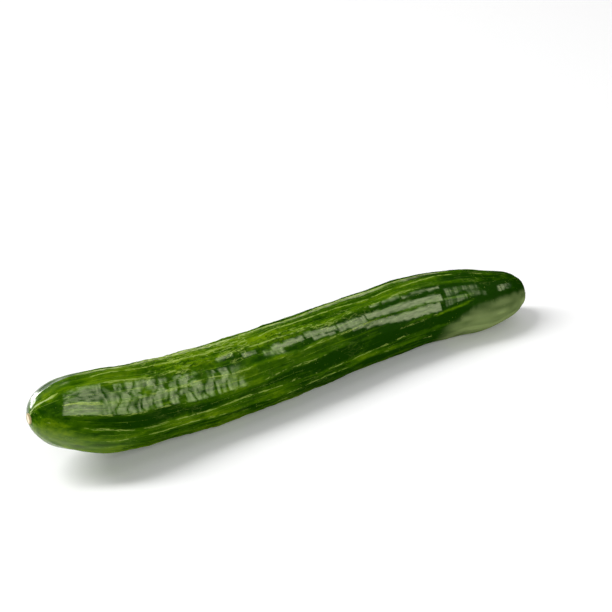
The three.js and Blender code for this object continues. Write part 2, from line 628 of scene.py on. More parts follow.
@dataclass
class SkinTone:
    """How the green goes lighter and darker over the skin, and where it is lively.

    Attributes:
        strips: how much lighter each strip between two ribs is than usual.
        strips_start: the share of that near the blossom end.
        blend: how much of a strip goes over into the next.
        cap: how much lighter the blossom end is, by angle from the top in degrees.
        cap_fade: the share of that past the end.
        far: how much lighter the body gets past the middle and towards the stem end.
        painted_highlight_and_shade: how many strips round the body a streak of painted highlight near the
            stem end is, by place.
        painted_highlight_and_shade_tones: how much lighter the painted highlight is, and how much darker
            the painted shade along its lower edge is, by strips from its middle.
        painted_highlight_and_shade_start: how the streak starts.
        painted_highlight_and_shade_stop: how it stops.
        lively_start: how lively the skin is near the blossom end.
        lively_fade: the share of that past the middle.
        calm: the share that is lost on the sides and below.
        calm_start: how that starts, by strips round the body.
        calm_stop: how it stops.
    """

    strips: tuple[float, ...] = (
        0.03, 0.07, -0.02, -0.02, -0.14, 0, -0.09, 0.02, 0.05, -0.04, 0.04, -0.05, 0.03, -0.04, 0.05, 0,
        -0.04, 0.02,
    )
    strips_start: Ramp = Ramp(14, 40)
    blend: float = 0.2
    cap: tuple[Hump, ...] = (Hump(-0.2, 42, 22), Hump(0.08, 112, 30))
    cap_fade: Ramp = Ramp(18, 42, 1, 0)
    far: tuple[Ramp, ...] = (Ramp(120, 225, 0, -0.12), Ramp(235, 315, 0, -0.14))
    painted_highlight_and_shade: Knots = ((258, 4.3), (264, 4.1), (272, 3.91), (280, 3.73), (291, 3.45), (296, 3.3))
    painted_highlight_and_shade_tones: tuple[Hump, ...] = (Hump(0.34, 0, 0.14), Hump(-0.1, 0.35, 0.14))
    painted_highlight_and_shade_start: Ramp = Ramp(256, 264)
    painted_highlight_and_shade_stop: Ramp = Ramp(286, 297, 1, 0)
    lively_start: Ramp = Ramp(50, 75)
    lively_fade: Ramp = Ramp(170, 225, 1, 0.15)
    calm: float = 0.85
    calm_start: Ramp = Ramp(2.1, 2.8)
    calm_stop: Ramp = Ramp(14.5, 16, 1, 0)

    def lightness(self, spot: Spot) -> Array:
        """How much lighter or darker the green is than usual.

        Args:
            spot: where on the skin.

        Returns:
            What to add to the tone.
        """
        x, share = spot.x, spot.share
        tones = np.array(self.strips)
        own, before, after = tones[spot.strip], tones[spot.strip - 1], np.roll(tones, -1)[spot.strip]
        strip = own + 0.5 * (after - own) * smoothstep(1 - self.blend, 1, share)
        strip = strip + 0.5 * (before - own) * (1 - smoothstep(0, self.blend, share))
        cap = sum(hump(np.degrees(spot.angle)) for hump in self.cap)
        # A streak of painted highlight near the stem end, with painted shade along its lower edge.
        off = spot.around - through(self.painted_highlight_and_shade, x)
        painted_highlight_and_shade = self.painted_highlight_and_shade_start(x) * self.painted_highlight_and_shade_stop(x) * sum(hump(off) for hump in self.painted_highlight_and_shade_tones)
        far = sum(ramp(x) for ramp in self.far)
        return strip * self.strips_start(x) + cap * self.cap_fade(x) + painted_highlight_and_shade + far

    def lively(self, spot: Spot) -> Array:
        """How strongly fine strokes and curls show: most on top, past the blossom end."""
        calmed = self.calm * self.calm_start(spot.around) * self.calm_stop(spot.around)
        return self.lively_start(spot.x) * self.lively_fade(spot.x) * (1 - calmed)


@dataclass
class SkinGloss:
    """Where the skin shines: brushed, rippled or in panels, along the strips between ribs.

    Places round the body are in strips from the first rib, and places along it in millimetres
    from the blossom end.

    Attributes:
        panels: the panels on the side with the rippled patch.
        strewn: the panels on the other side.
        dull: the gloss between panels.
        ticked: how noise makes the fine cross lines in panels.
        patch_from: where round the body the patch starts, by place along it.
        patch_edge: how its gloss comes up there.
        patch_to: how it ends round the body.
        patch_start: how it would start along the body at the first rib.
        patch_slant: how much nearer to the blossom end it starts with each strip round the body.
        patch_stop: how it ends along the body.
        brushed_stop: where along the body its brushed part goes over into ripples.
        brushed_upper: the brushed part's gloss by its noise, near its upper edge.
        brushed_lower: the same further down.
        brushed_split: where round the body the second starts.
        between: how the gloss comes up between two creases.
        celled: how noise breaks the ripples up into cells.
        hatched: how finer noise thins them.
        under: the gloss below the blossom end, by place round the body.
        under_stop: how that ends along it.
        top: the gloss on top of the blossom end, by place round the body past the top and before it.
        top_strokes: how noise breaks it up into strokes.
        top_stop: how it ends along the body.
    """

    panels: tuple[GlossPanel, ...] = (
        GlossPanel(143, 165, (2.27, 2.27), (2.55, 2.50)),
        GlossPanel(167, 188, (2.18, 2.30), (2.46, 2.66), 0.2),
        GlossPanel(171, 186, (2.55, 2.68), (2.75, 2.85), 0.3),
        GlossPanel(189, 209.5, (2.33, 2.48), (2.80, 2.94), 0.35),
        GlossPanel(197, 206, (2.92, 2.98), (3.1, 3.12)),
        GlossPanel(206, 217, (3.1, 3.02), (3.3, 3.26)),
        GlossPanel(211, 268.5, (2.44, 2.60), (2.81, 2.96)),
        GlossPanel(217, 233, (3.06, 3.08), (3.37, 3.53)),
        GlossPanel(233, 266, (3.08, 3.08), (3.55, 3.85)),
        GlossPanel(216, 224, (2.03, 1.97), (2.17, 2.09)),
        GlossPanel(226, 239, (2.02, 2.09), (2.18, 2.21)),
        GlossPanel(241, 269, (2.21, 2.14), (2.29, 2.23)),
        GlossPanel(108, 119, (2.02, 2.02), (2.18, 2.16)),
        GlossPanel(125, 134, (2.25, 2.25), (2.42, 2.42)),
        GlossPanel(137, 151, (2.4, 2.55), (2.7, 2.8), 0.7),
        GlossPanel(272, 296, (2.35, 2.3), (2.8, 2.5), 0.8, 0.7),
        GlossPanel(270, 287, (2.88, 2.85), (3.55, 3.2), 0.75, 0.6),
        GlossPanel(288, 300, (2.6, 2.75), (3.1, 3.1), 0.85, 0.4),
        GlossPanel(309, 321, (2.45, 2.35), (2.95, 2.85), 0.8, 0.7),
        GlossPanel(26, 276, (0.07, 0.07), (0.25, 0.25), 0.1),
    )
    strewn: StrewnPanels = StrewnPanels()
    dull: float = 0.012
    ticked: Ramp = Ramp(-0.3, 0.25)
    patch_from: Knots = (
        (16, 2.2), (25, 2), (45, 2.12), (60, 2.1), (74, 2.23), (87, 2.41), (100, 2.58), (126, 2.62),
    )
    patch_edge: Ramp = Ramp(-0.05, 0.06)
    patch_to: Ramp = Ramp(3.9, 4, 1, 0)
    patch_start: Ramp = Ramp(18.99, 19.89)
    patch_slant: float = 1.45
    patch_stop: Ramp = Ramp(112, 124, 1, 0)
    brushed_stop: Ramp = Ramp(30, 34)
    brushed_upper: Ramp = Ramp(-0.35, 0.3, 0.05, 0.8)
    brushed_lower: Ramp = Ramp(-0.35, 0.3, 0.8, 1)
    brushed_split: float = 3
    between: Ramp = Ramp(0.1, 0.55)
    celled: Ramp = Ramp(-0.65, 0.1)
    hatched: Ramp = Ramp(-0.35, 0.2, 0.5, 1)
    under: Ramp = Ramp(5, 8.5, 0, 0.8)
    under_stop: Ramp = Ramp(6, 40, 1, 0)
    top: tuple[Ramp, Ramp] = (Ramp(0.9, 1.5, 1, 0), Ramp(14, 15.5))
    top_strokes: Ramp = Ramp(-0.4, 0.1, 0.5, 1)
    top_stop: Ramp = Ramp(17, 22, 1, 0)

    def __post_init__(self) -> None:
        """Seeds the patterns."""
        self.blotches = Mottle(21)
        self.flecks = Mottle(34)

    def rippled(self, spot: Spot, creases: Array) -> Array:
        """The gloss of the patch that is brushed near the blossom end and rippled past that.

        Args:
            spot: where on the skin.
            creases: how many cross creases each point is past.

        Returns:
            A share of the full gloss.
        """
        x, around = spot.x, spot.around
        blotch = self.blotches.on(spot, along=4.2, around=5)
        fleck = self.flecks.on(spot, along=1.5, around=4)
        hatch = self.blotches.on(spot, along=0.8, around=5)
        between = self.between(np.abs(np.sin(np.pi * creases)) + 0.3 * hatch)
        ripple = between * self.celled(1.2 * blotch + 0.6 * fleck) * self.hatched(hatch)
        strokes = self.flecks(x / 4.5 + spot.across / 9, spot.across / 0.8, spot.down / 0.8)
        upper = around < self.brushed_split
        streak = np.where(upper, self.brushed_upper(strokes), self.brushed_lower(strokes))
        shine = streak + self.brushed_stop(x + 3 * blotch) * (ripple - streak)
        edge = around - through(self.patch_from, x) + 0.06 * fleck
        patch = self.patch_edge(edge) * self.patch_to(around)
        patch = patch * self.patch_start(x + self.patch_slant * around)
        return patch * shine * self.patch_stop(x + 7 * blotch)

    def share(self, spot: Spot, creases: Array) -> Array:
        """How glossy the skin is.

        Args:
            spot: where on the skin.
            creases: how many cross creases each point is past.

        Returns:
            A share of the full gloss.
        """
        x, around = spot.x, spot.around
        stray = self.flecks.on(spot, along=2.4, around=2.2)
        ticks = self.ticked(self.blotches.on(spot, along=0.75, around=6))
        shown = self.rippled(spot, creases)
        for panel in (*self.panels, *self.strewn.panels()):
            shown = np.maximum(shown, panel.cover(spot, stray, ticks))
        under = self.under(around) * self.under_stop(x)
        top = np.maximum(*(side(around) for side in self.top))
        top = top * self.top_strokes(self.flecks.on(spot, along=4, around=0.7)) * self.top_stop(x)
        tip = under + (1 - under) * top
        return self.dull + (1 - self.dull) * np.maximum(shown, tip)


@dataclass
class PaintedReflection:
    """The painted reflection of the pale floor that lies low down at both ends, most under the stem end.

    Attributes:
        edge: where round the body the painted reflection under the stem end starts, in strips from the
        first rib, by place along it.
        ragged: how far that edge strays, in strips.
        thin: how the painted reflection comes up just past the edge.
        thick: how more of it does further down.
        start: how it starts along the body.
        cloud: how much there is on average, and how much more or less in blotches.
        blossom: the painted reflection under the blossom end, by strips round the body.
        blossom_stop: how that ends along it.
        low: how both end below the body, by strips round it.
    """

    edge: Knots = ((262, 5.6), (280, 4.6), (293, 3.95), (309, 3.4), (322, 3.3), (337, 3.2))
    ragged: float = 0.12
    thin: Ramp = Ramp(-0.1, 0.5, 0, 0.6)
    thick: Ramp = Ramp(0.3, 2.5, 0, 0.4)
    start: Ramp = Ramp(262, 282)
    cloud: tuple[float, float] = (0.82, 0.4)
    blossom: Ramp = Ramp(5.2, 7.5, 0, 0.35)
    blossom_stop: Ramp = Ramp(25, 60, 1, 0)
    low: Ramp = Ramp(8.5, 12, 1, 0)

    def __post_init__(self) -> None:
        """Seeds the patterns."""
        self.blotches = Mottle(21)
        self.flecks = Mottle(34)

    def share(self, spot: Spot) -> Array:
        """How much painted reflection lies on the skin.

        Args:
            spot: where on the skin.

        Returns:
            A share of the full painted reflection.
        """
        x, around = spot.x, spot.around
        brushed = self.flecks(x / 1.3, spot.across / 6, 0.5) + self.flecks(x / 4, spot.across / 4, 2.5)
        past = around - through(self.edge, x) + self.ragged * brushed
        stem = (self.thin(past) + self.thick(past)) * self.start(x)
        usual, more = self.cloud
        cloud = usual + more * self.blotches.on(spot, along=11, around=3)
        blossom = self.blossom(around) * self.blossom_stop(x)
        return np.clip((stem + blossom) * cloud * self.low(around), 0, 1)


@dataclass
class BlossomScar:
    """The corky knob where the blossom was, in millimetres.

    Attributes:
        profile: radius, and height into the body, from the dished middle to the knob's foot.
        rings: how many rings it is made of.
        cork: the radius where its colour starts to fade, and where it ends.
        offset: how far its colour lies towards one side of it.
        offset_turn: that side's angle from the top, in degrees.
        colour_reach: how far along the body its colour may lie.
    """

    profile: Knots = ((0, -0.1), (1.6, -0.25), (2.6, -0.35), (3.3, 0), (3.5, 0.05))
    rings: int = 20
    cork: tuple[float, float] = (2.4, 3.6)
    offset: float = 1
    offset_turn: float = 56
    colour_reach: float = 20

    def outline(self) -> tuple[Array, Array]:
        """The radius and the height of each ring, from the middle out."""
        radius = np.linspace(0.2, self.profile[-1][0], self.rings)
        return radius, through(self.profile, radius)

    def corky(self, angle: Array, distance: Array) -> Array:
        """How corky the skin near the scar is.

        Args:
            angle: the angle round the body.
            distance: the distance from its middle.

        Returns:
            A share for each point.
        """
        turn = math.radians(self.offset_turn)
        aside = distance * np.sin(angle) - self.offset * math.sin(turn)
        above = distance * np.cos(angle) - self.offset * math.cos(turn)
        return 1 - smoothstep(*self.cork, np.hypot(aside, above))


@dataclass
class StemStub:
    """The cut stem in its dimple, in millimetres.

    Attributes:
        profile: radius, and height out of the body, from the dimple's rim to the cut face.
        stem_radius: where the dimple ends and the stem begins.
        cut_radius: where the cut face begins.
        dish: the height of the middle of the cut face.
        sides: how many sides the stem has.
        side_depth: how far its sides are drawn in, as a share of its radius.
        rings_per_step: how many rings run from one point of the profile to the next.
        foot: how far past the stem its colour fades out.
    """

    profile: Knots = (
        (6.8, -1.9), (5.6, -1.9), (4.6, -2.1), (3.9, -1.2), (3.7, 0.2), (3.1, 0.5), (1.6, 0.2),
    )
    stem_radius: float = 4
    cut_radius: float = 3.5
    dish: float = 0
    sides: int = 5
    side_depth: float = 0.06
    rings_per_step: int = 4
    foot: float = 0.8

    def outline(self) -> tuple[Array, Array]:
        """The shape of the dimple and the stem.

        Returns:
            The radius and the height of each ring, from the dimple to the cut face.
        """
        step = np.arange(len(self.profile), dtype=float)
        at = np.linspace(0, step[-1], self.rings_per_step * (len(step) - 1) + 1)
        radius, height = np.array(self.profile, float).T
        return through(list(zip(step, radius)), at), through(list(zip(step, height)), at)


@dataclass
class Rings:
    """The rings of vertices that make the skin, from the blossom end to the stem end.

    Attributes:
        x: each ring's distance from the blossom end.
        radius: each ring's radius before ribs and relief.
        ahead: how far each ring is moved along the body's direction.
        ribbed: 1 where a ring has ribs and relief.
        sided: how far a ring's sides are drawn in.
        scar: 1 on the blossom scar.
        stub: 1 on the stem stub.
        cut: 1 on the stub's cut face.
    """

    x: Array
    radius: Array
    ahead: Array
    ribbed: Array
    sided: Array
    scar: Array
    stub: Array
    cut: Array

    @classmethod
    def joined(cls, parts: Sequence["Rings"]) -> "Rings":
        """Joins several sets of rings.

        Args:
            parts: the sets, in order.

        Returns:
            One set with all their rings.
        """
        names = cls.__dataclass_fields__
        columns = ([getattr(part, name) for part in parts] for name in names)
        return cls(*(np.concatenate(column) for column in columns))


@dataclass
class CucumberBody:
    """The whole fruit, from the blossom scar to the cut stem stub, in millimetres.

    Attributes:
        length: from the blossom scar to the foot of the stub, along X.
        girth_radius: the radius at the thickest place.
        lift: how far the blossom end rises.
        lift_reach: how much of the length rises.
        nod: how far the blossom end's tip dips from that rise.
        nod_reach: how much of the length nods.
        flat_depth: how far the underside is pressed flat.
        scar_shift: how far the scar sits from the middle, towards +Y and up.
        scar_reach: how much of the length shifts with it.
        blossom_end: how the blossom end closes.
        stem_end: how the stem end closes.
        scar_edge: where on the blossom end's rounding the skin starts, in degrees from the tip.
        dimple_edge: where on the stem end's rounding it stops, in the same way.
        columns_per_rib: how many lines of vertices run along the body for each rib.
        blossom_rings: rings over the blossom end's rounding.
        ring_step: the distance between rings along the body.
        stem_rings: rings over the stem end's rounding.
        reading_step: how far to both sides of a place its direction is read.
        ribs: its ribs.
        relief: its fine shape.
        tone: how light its green is.
        gloss: where it shines.
        bloom: where a painted reflection of the pale floor lies on it.
        scar: its blossom scar.
        stub: its cut stem.
    """

    length: float = 337.2
    girth_radius: float = 23.4
    lift: float = 20
    lift_reach: float = 125
    nod: float = 4.1
    nod_reach: float = 30
    flat_depth: float = 1
    scar_shift: tuple[float, float] = (-2.5, 2.2)
    scar_reach: float = 12
    blossom_end: RoundedEnd = RoundedEnd(50, 0.415)
    stem_end: RoundedEnd = RoundedEnd(42, 0.39)
    scar_edge: float = 5
    dimple_edge: float = 22
    columns_per_rib: int = 11
    blossom_rings: int = 84
    ring_step: float = 0.8
    stem_rings: int = 54
    reading_step: float = 2
    ribs: Ribs = field(default_factory=Ribs)
    relief: SkinRelief = field(default_factory=SkinRelief)
    tone: SkinTone = field(default_factory=SkinTone)
    gloss: SkinGloss = field(default_factory=SkinGloss)
    bloom: PaintedReflection = field(default_factory=PaintedReflection)
    scar: BlossomScar = field(default_factory=BlossomScar)
    stub: StemStub = field(default_factory=StemStub)

    @property
    def taper(self) -> Knots:
        """The body's thickness along its length.

        Returns:
            Pairs of distance from the blossom end and share of girth_radius.
        """
        near = (0, 1), (30, 0.985), (42, 0.98), (60, 0.965), (80, 0.97), (100, 0.975), (119, 0.972)
        far = (161, 0.96), (216, 0.935), (266, 0.928), (290, 0.885), (308, 0.828)
        return *near, *far, (self.length, 0.79)

    @property
    def bend(self) -> Knots:
        """How the body bends to the side.

        Returns:
            Pairs of distance from the blossom end and place along Y.
        """
        near = (0, -4), (17, -4.2), (37, -5.2), (60, -4.4), (80, -2.2), (100, -0.9), (119, -0.1)
        far = (150, 2), (173, 4.1), (214, 8.6), (241, 10.9), (263, 11.2), (286, 8.9), (304, 5)
        return *near, *far, (self.length, 3.6)

    def body_radius(self, x: Array) -> Array:
        """The radius of the body with its ends left open."""
        return self.girth_radius * through(self.taper, x)

    def fade(self, x: Array) -> Array:
        """The share of the radius that the two rounded ends leave."""
        return self.blossom_end.share(x) * self.stem_end.share(self.length - x)

    def centre(self, x: Array) -> Array:
        """The middle of the body.

        Args:
            x: distances from the blossom end.

        Returns:
            A point for each distance.
        """
        raised = self.lift * np.maximum(0, 1 - x / self.lift_reach) ** 2
        nodded = self.nod * np.maximum(0, 1 - x / self.nod_reach) ** 2
        z = self.body_radius(x) + raised - nodded - self.flat_depth
        return np.stack([x, through(self.bend, x), z], axis=-1)

    def directions(self, x: Array) -> tuple[Array, Array, Array]:
        """Which way the body runs.

        Args:
            x: distances from the blossom end.

        Returns:
            Its direction, its +Y side and its upward side at each distance.
        """
        ahead = self.centre(np.minimum(x + self.reading_step, self.length))
        forward = unit(ahead - self.centre(np.maximum(x - self.reading_step, 0)))
        side = unit(np.cross([0, 0, 1], forward))
        return forward, side, np.cross(forward, side)

    def skin_rings(self) -> Rings:
        """Sets out the rings of skin between the scar and the stub's dimple.

        Returns:
            The rings.
        """
        start, stop = math.radians(self.scar_edge), math.radians(self.dimple_edge)
        near = np.linspace(start, math.pi / 2, self.blossom_rings, endpoint=False)
        far = np.linspace(math.pi / 2, stop, self.stem_rings + 1)[1:]
        ends = self.blossom_end.reach, self.length - self.stem_end.reach
        count = round((ends[1] - ends[0]) / self.ring_step) + 1
        x = np.concatenate([
            self.blossom_end.reach * (1 - np.cos(near)),
            np.linspace(*ends, count),
            self.length - self.stem_end.reach * (1 - np.cos(far)),
        ])
        none = np.zeros_like(x)
        return Rings(x, self.body_radius(x) * self.fade(x), none, none + 1, none, none, none, none)

    def scar_rings(self) -> Rings:
        """Sets out the rings of the blossom scar.

        Returns:
            The rings.
        """
        radius, ahead = self.scar.outline()
        none = np.zeros_like(radius)
        return Rings(none, radius, ahead, none, none, none + 1, none, none)

    def stub_rings(self) -> Rings:
        """Sets out the rings of the stem stub and its dimple.

        Returns:
            The rings.
        """
        radius, ahead = self.stub.outline()
        none = np.zeros_like(radius)
        sided = np.where(radius < self.stub.stem_radius, self.stub.side_depth, 0)
        on_stub = 1 - smoothstep(self.stub.stem_radius, self.stub.stem_radius + self.stub.foot, radius)
        cut = np.where(radius < self.stub.cut_radius, 1.0, 0)
        return Rings(none + self.length, radius, ahead, none, sided, none, on_stub, cut)

    def placed(self, rings: Rings, angle: Array, radius: Array) -> Array:
        """The points of every ring, pressed flat where the body rests.

        Args:
            rings: the rings.
            angle: each point's angle round the body, a row for each ring.
            radius: each point's distance from the middle.

        Returns:
            The points, in millimetres from under the blossom end.
        """
        forward, side, up = (axis[:, None] for axis in self.directions(rings.x))
        points = self.centre(rings.x)[:, None] + forward * rings.ahead[:, None, None]
        points = points + up * (radius * np.cos(angle))[..., None]
        points = points - side * (radius * np.sin(angle))[..., None]
        near = 1 - smoothstep(0, self.scar_reach, rings.x)
        points[..., 1:] += near[:, None, None] * self.scar_shift
        points[..., 2] = np.maximum(points[..., 2], 0)
        return points

    def surface(self) -> tuple[Array, dict[Site, Array]]:
        """The skin's points, ring by ring, and what they tell the material.

        Returns:
            The points as rings of columns, and a grid of values for each Site.
        """
        rings = Rings.joined([self.scar_rings(), self.skin_rings(), self.stub_rings()])
        columns = np.arange(self.ribs.count * self.columns_per_rib)
        k, share = np.divmod(columns, self.columns_per_rib)
        share = share / self.columns_per_rib
        x, radius = rings.x[:, None], rings.radius[:, None]
        angle, ribbed, rib = self.ribs.skin(k, share, x, radius, self.length)
        fade = self.fade(rings.x)
        spot = Spot(x + 0 * angle, angle, radius, k, share, rib)
        relief = self.relief.swelling(x, angle, fade[:, None]) + self.relief.fine(spot)
        sides = radius * rings.sided[:, None] * np.cos(self.stub.sides * angle)
        distance = radius + rings.ribbed[:, None] * (ribbed + relief) + sides
        points = self.placed(rings, angle, distance)
        along = x + rings.ahead[:, None] + 0 * angle
        nearest = (k + (share > 0.5)) % self.ribs.count
        sites = {
            Site.PLACE: np.stack([along, spot.across, spot.down], axis=-1),
            Site.RIB: rib,
            Site.CREST: self.ribs.paleness(nearest, x),
            Site.TONE: self.tone.lightness(spot),
            Site.LIVELY: self.tone.lively(spot),
            Site.GLOSS: self.gloss.share(spot, self.relief.creases(spot)),
            Site.BLOOM: self.bloom.share(spot),
            Site.FROM_AXIS: distance,
            Site.SCAR: np.where(x < self.scar.colour_reach, self.scar.corky(angle, distance), 0),
            Site.STUB: rings.stub[:, None] + 0 * angle,
            Site.CUT: rings.cut[:, None] + 0 * angle,
        }
        return points, sites

    def tips(self) -> Array:
        """Finds the two points that close the skin.

        Returns:
            The middle of the scar and the middle of the cut stem.
        """
        x = np.array([0.0, self.length])
        ahead = np.array([self.scar.profile[0][1], self.stub.dish])
        tips = self.centre(x) + self.directions(x)[0] * ahead[:, None]
        tips[0, 1:] += self.scar_shift
        return tips

    def build(self, box: tuple[Vector, Vector]) -> bpy.types.Object:
        """Makes the skin's mesh at its real size and place.

        Args:
            box: the lowest and highest corners that it fills, in metres.

        Returns:
            The skin.
        """
        grid, sites = self.surface()
        points = np.concatenate([grid.reshape(-1, 3), self.tips()])
        low, high = (np.array(corner) for corner in box)
        least, most = points.min(axis=0), points.max(axis=0)
        points = low + (points - least) * (high - low) / (most - least)
        sheet = ClosedSheet(*grid.shape[:2])
        mesh = bpy.data.meshes.new(PIECE)
        mesh.from_pydata(points, [], sheet.faces())
        mesh.shade_smooth()
        for site, values in sites.items():
            sheet.tell(mesh, site, values)
        sheet.unwrap(mesh, points)
        skin = bpy.data.objects.new(PIECE, mesh)
        bpy.context.scene.collection.objects.link(skin)
        return skin


@dataclass(frozen=True)
class ClosedSheet:
    """How the skin's rings of points join into one closed mesh.

    The points come ring by ring, and after them the middle point of each tip.

    Attributes:
        rings: how many rings there are.
        columns: how many points are in a ring.
        margin: how much of the flat sheet is left free along each edge.
    """

    rings: int
    columns: int
    margin: float = 0.005

    def faces(self) -> list[tuple[int, ...]]:
        """Joins the points into faces that face out.

        Returns:
            The numbers of each face's points: rows of four-sided faces, then a fan at each tip.
        """
        first = self.rings * self.columns
        last_ring = first - self.columns
        beside = [(column + 1) % self.columns for column in range(self.columns)]
        faces = []
        for row in range(self.rings - 1):
            near, far = row * self.columns, (row + 1) * self.columns
            faces += [(near + c, near + beside[c], far + beside[c], far + c) for c in range(self.columns)]
        faces += [(first, beside[c], c) for c in range(self.columns)]
        faces += [(first + 1, last_ring + c, last_ring + beside[c]) for c in range(self.columns)]
        return faces

    def tell(self, mesh: bpy.types.Mesh, site: Site, values: Array) -> None:
        """Writes one kind of value to the mesh's points.

        Args:
            mesh: the skin's mesh.
            site: what the values are.
            values: the value of each point of each ring.
        """
        width = values.shape[2] if values.ndim == 3 else 1
        rows = values.reshape(self.rings * self.columns, width)
        tips = np.stack([values[0].reshape(-1, width).mean(0), values[-1].reshape(-1, width).mean(0)])
        kind, part = ("FLOAT_VECTOR", "vector") if width == 3 else ("FLOAT", "value")
        told = mesh.attributes.new(site.value, kind, "POINT")
        told.data.foreach_set(part, np.concatenate([rows, tips]).astype(np.float32).ravel())

    def unwrap(self, mesh: bpy.types.Mesh, points: Array) -> None:
        """Lays the skin out flat, its length across the sheet and its girth up it.

        Args:
            mesh: the skin's mesh.
            points: the mesh's points.
        """
        first = self.rings * self.columns
        line = np.concatenate([points[[first]], points[0:first:self.columns], points[[first + 1]]])
        step = np.linalg.norm(np.diff(line, axis=0), axis=1)
        size = 1 - 2 * self.margin
        across = self.margin + size * np.concatenate([[0], np.cumsum(step)]) / step.sum()
        up = self.margin + size * np.arange(self.columns + 1) / self.columns
        places = []
        for row in range(self.rings - 1):
            near, far = across[row + 1], across[row + 2]
            for low, high in zip(up[:-1], up[1:]):
                places += [near, low, near, high, far, high, far, low]
        for low, high in zip(up[:-1], up[1:]):
            places += [across[0], (low + high) / 2, across[1], high, across[1], low]
        for low, high in zip(up[:-1], up[1:]):
            places += [across[-1], (low + high) / 2, across[-2], low, across[-2], high]
        layer = mesh.uv_layers.new(name="OFBake")
        layer.uv.foreach_set("vector", np.array(places, np.float32))


class Socket:
    """A node's output, which Python's operators combine into further nodes."""

    def __init__(self, graph: "Graph", plug: bpy.types.NodeSocket) -> None:
        """Keeps the output and the graph that it is in."""
        self.graph = graph
        self.plug = plug

    def _combined(self, operation: str, *terms: "Term") -> "Socket":
        """The result of an operation on terms.

        Args:
            operation: the name of the node's operation.
            terms: numbers, triples or sockets, in the operation's order.

        Returns:
            The node's output, a vector where any of the terms is one.
        """
        many = any(isinstance(term, Socket) and term.plug.type != "VALUE" for term in terms)
        kind = "ShaderNodeVectorMath" if many else "ShaderNodeMath"
        spread = [(term,) * 3 if many and isinstance(term, (int, float)) else term for term in terms]
        return self.graph.node(kind, {"operation": operation}, dict(enumerate(spread)))

    def __add__(self, other: "Term") -> "Socket":
        """This plus another."""
        return self._combined("ADD", self, other)

    def __radd__(self, other: "Term") -> "Socket":
        """Another plus this."""
        return self._combined("ADD", other, self)

    def __sub__(self, other: "Term") -> "Socket":
        """This less another."""
        return self._combined("SUBTRACT", self, other)

    def __rsub__(self, other: "Term") -> "Socket":
        """Another less this."""
        return self._combined("SUBTRACT", other, self)

    def __mul__(self, other: "Term") -> "Socket":
        """This times another."""
        return self._combined("MULTIPLY", self, other)

    def __rmul__(self, other: "Term") -> "Socket":
        """Another times this."""
        return self._combined("MULTIPLY", other, self)

    def __abs__(self) -> "Socket":
        """This without its sign."""
        return self._combined("ABSOLUTE", self)

    def between(self, low: "Term", high: "Term") -> "Socket":
        """Goes smoothly from 0 at low to 1 at high, whichever of them is the greater."""
        settings = {"interpolation_type": "SMOOTHSTEP"}
        return self.graph.node("ShaderNodeMapRange", settings, {0: self, 1: low, 2: high})

    def mix(self, low: "Term", high: "Term") -> "Socket":
        """The colour that goes from low to high as this goes from 0 to 1."""
        inputs = {0: self, MIX_COLOURS[0]: low, MIX_COLOURS[1]: high}
        return self.graph.node("ShaderNodeMix", {"data_type": "RGBA"}, inputs, MIX_RESULT)


Term = float | Colour | Socket


class Graph:
    """The nodes of one material."""

    def __init__(self, name: str) -> None:
        """Starts a material with no nodes.

        Args:
            name: the material's name.
        """
        self.material = bpy.data.materials.new(name)
        self.material.use_nodes = True
        self.tree = self.material.node_tree
        self.tree.nodes.clear()

    def node(
        self, kind: str, settings: dict[str, Any], inputs: dict[int | str, Any], output: int | str = 0
    ) -> Socket:
        """Adds a node.

        Args:
            kind: the node's type.
            settings: its settings, with a ramp's stops as pairs of place and colour.
            inputs: a value or a link for each socket that isn't left as it is.
            output: which of its outputs is wanted.

        Returns:
            That output.
        """
        node = self.tree.nodes.new(kind)
        for name, setting in settings.items():
            if name == "stops":
                self._set_stops(node.color_ramp, setting)
            else:
                setattr(node, name, setting)
        for name, value in inputs.items():
            plug = node.inputs[name]
            if isinstance(value, Socket):
                self.tree.links.new(value.plug, plug)
            elif plug.type == "RGBA":
                plug.default_value = (*value, 1)
            else:
                plug.default_value = value
        return Socket(self, node.outputs[output]) if node.outputs else None

    @staticmethod
    def _set_stops(ramp: bpy.types.ColorRamp, stops: Sequence[tuple[float, Colour]]) -> None:
        """Gives a ramp its stops.

        Args:
            ramp: the ramp, as new.
            stops: pairs of place and colour, two at least.
        """
        for place, _ in stops[2:]:
            ramp.elements.new(place)
        for element, (place, colour) in zip(ramp.elements, stops):
            element.position = place
            element.color = (*colour, 1)

    def told(self, site: Site) -> Socket:
        """What the mesh tells the material of one kind."""
        output = "Vector" if site is Site.PLACE else "Fac"
        return self.node("ShaderNodeAttribute", {"attribute_name": site.value}, {}, output)

    def noise(
        self, place: Socket, size: float, along: float = 1, detail: float = 3, rough: float = 0.5
    ) -> Socket:
        """Noise around 0.5.

        Args:
            place: where each point is.
            size: how large its largest blotches are, in the unit of the places.
            along: how fast it changes along X, as a share of its usual pace.
            detail: how many finer levels it has.
            rough: how strong each level is beside the one before.

        Returns:
            The noise.
        """
        if along != 1:
            place = place * (along, 1, 1)
        inputs = {"Vector": place, "Scale": 1 / size, "Detail": detail, "Roughness": rough}
        return self.node("ShaderNodeTexNoise", {}, inputs)

    def finish(self, shader: Socket) -> bpy.types.Material:
        """Ends the graph with its shader and returns the material."""
        self.node("ShaderNodeOutputMaterial", {}, {"Surface": shader})
        return self.material


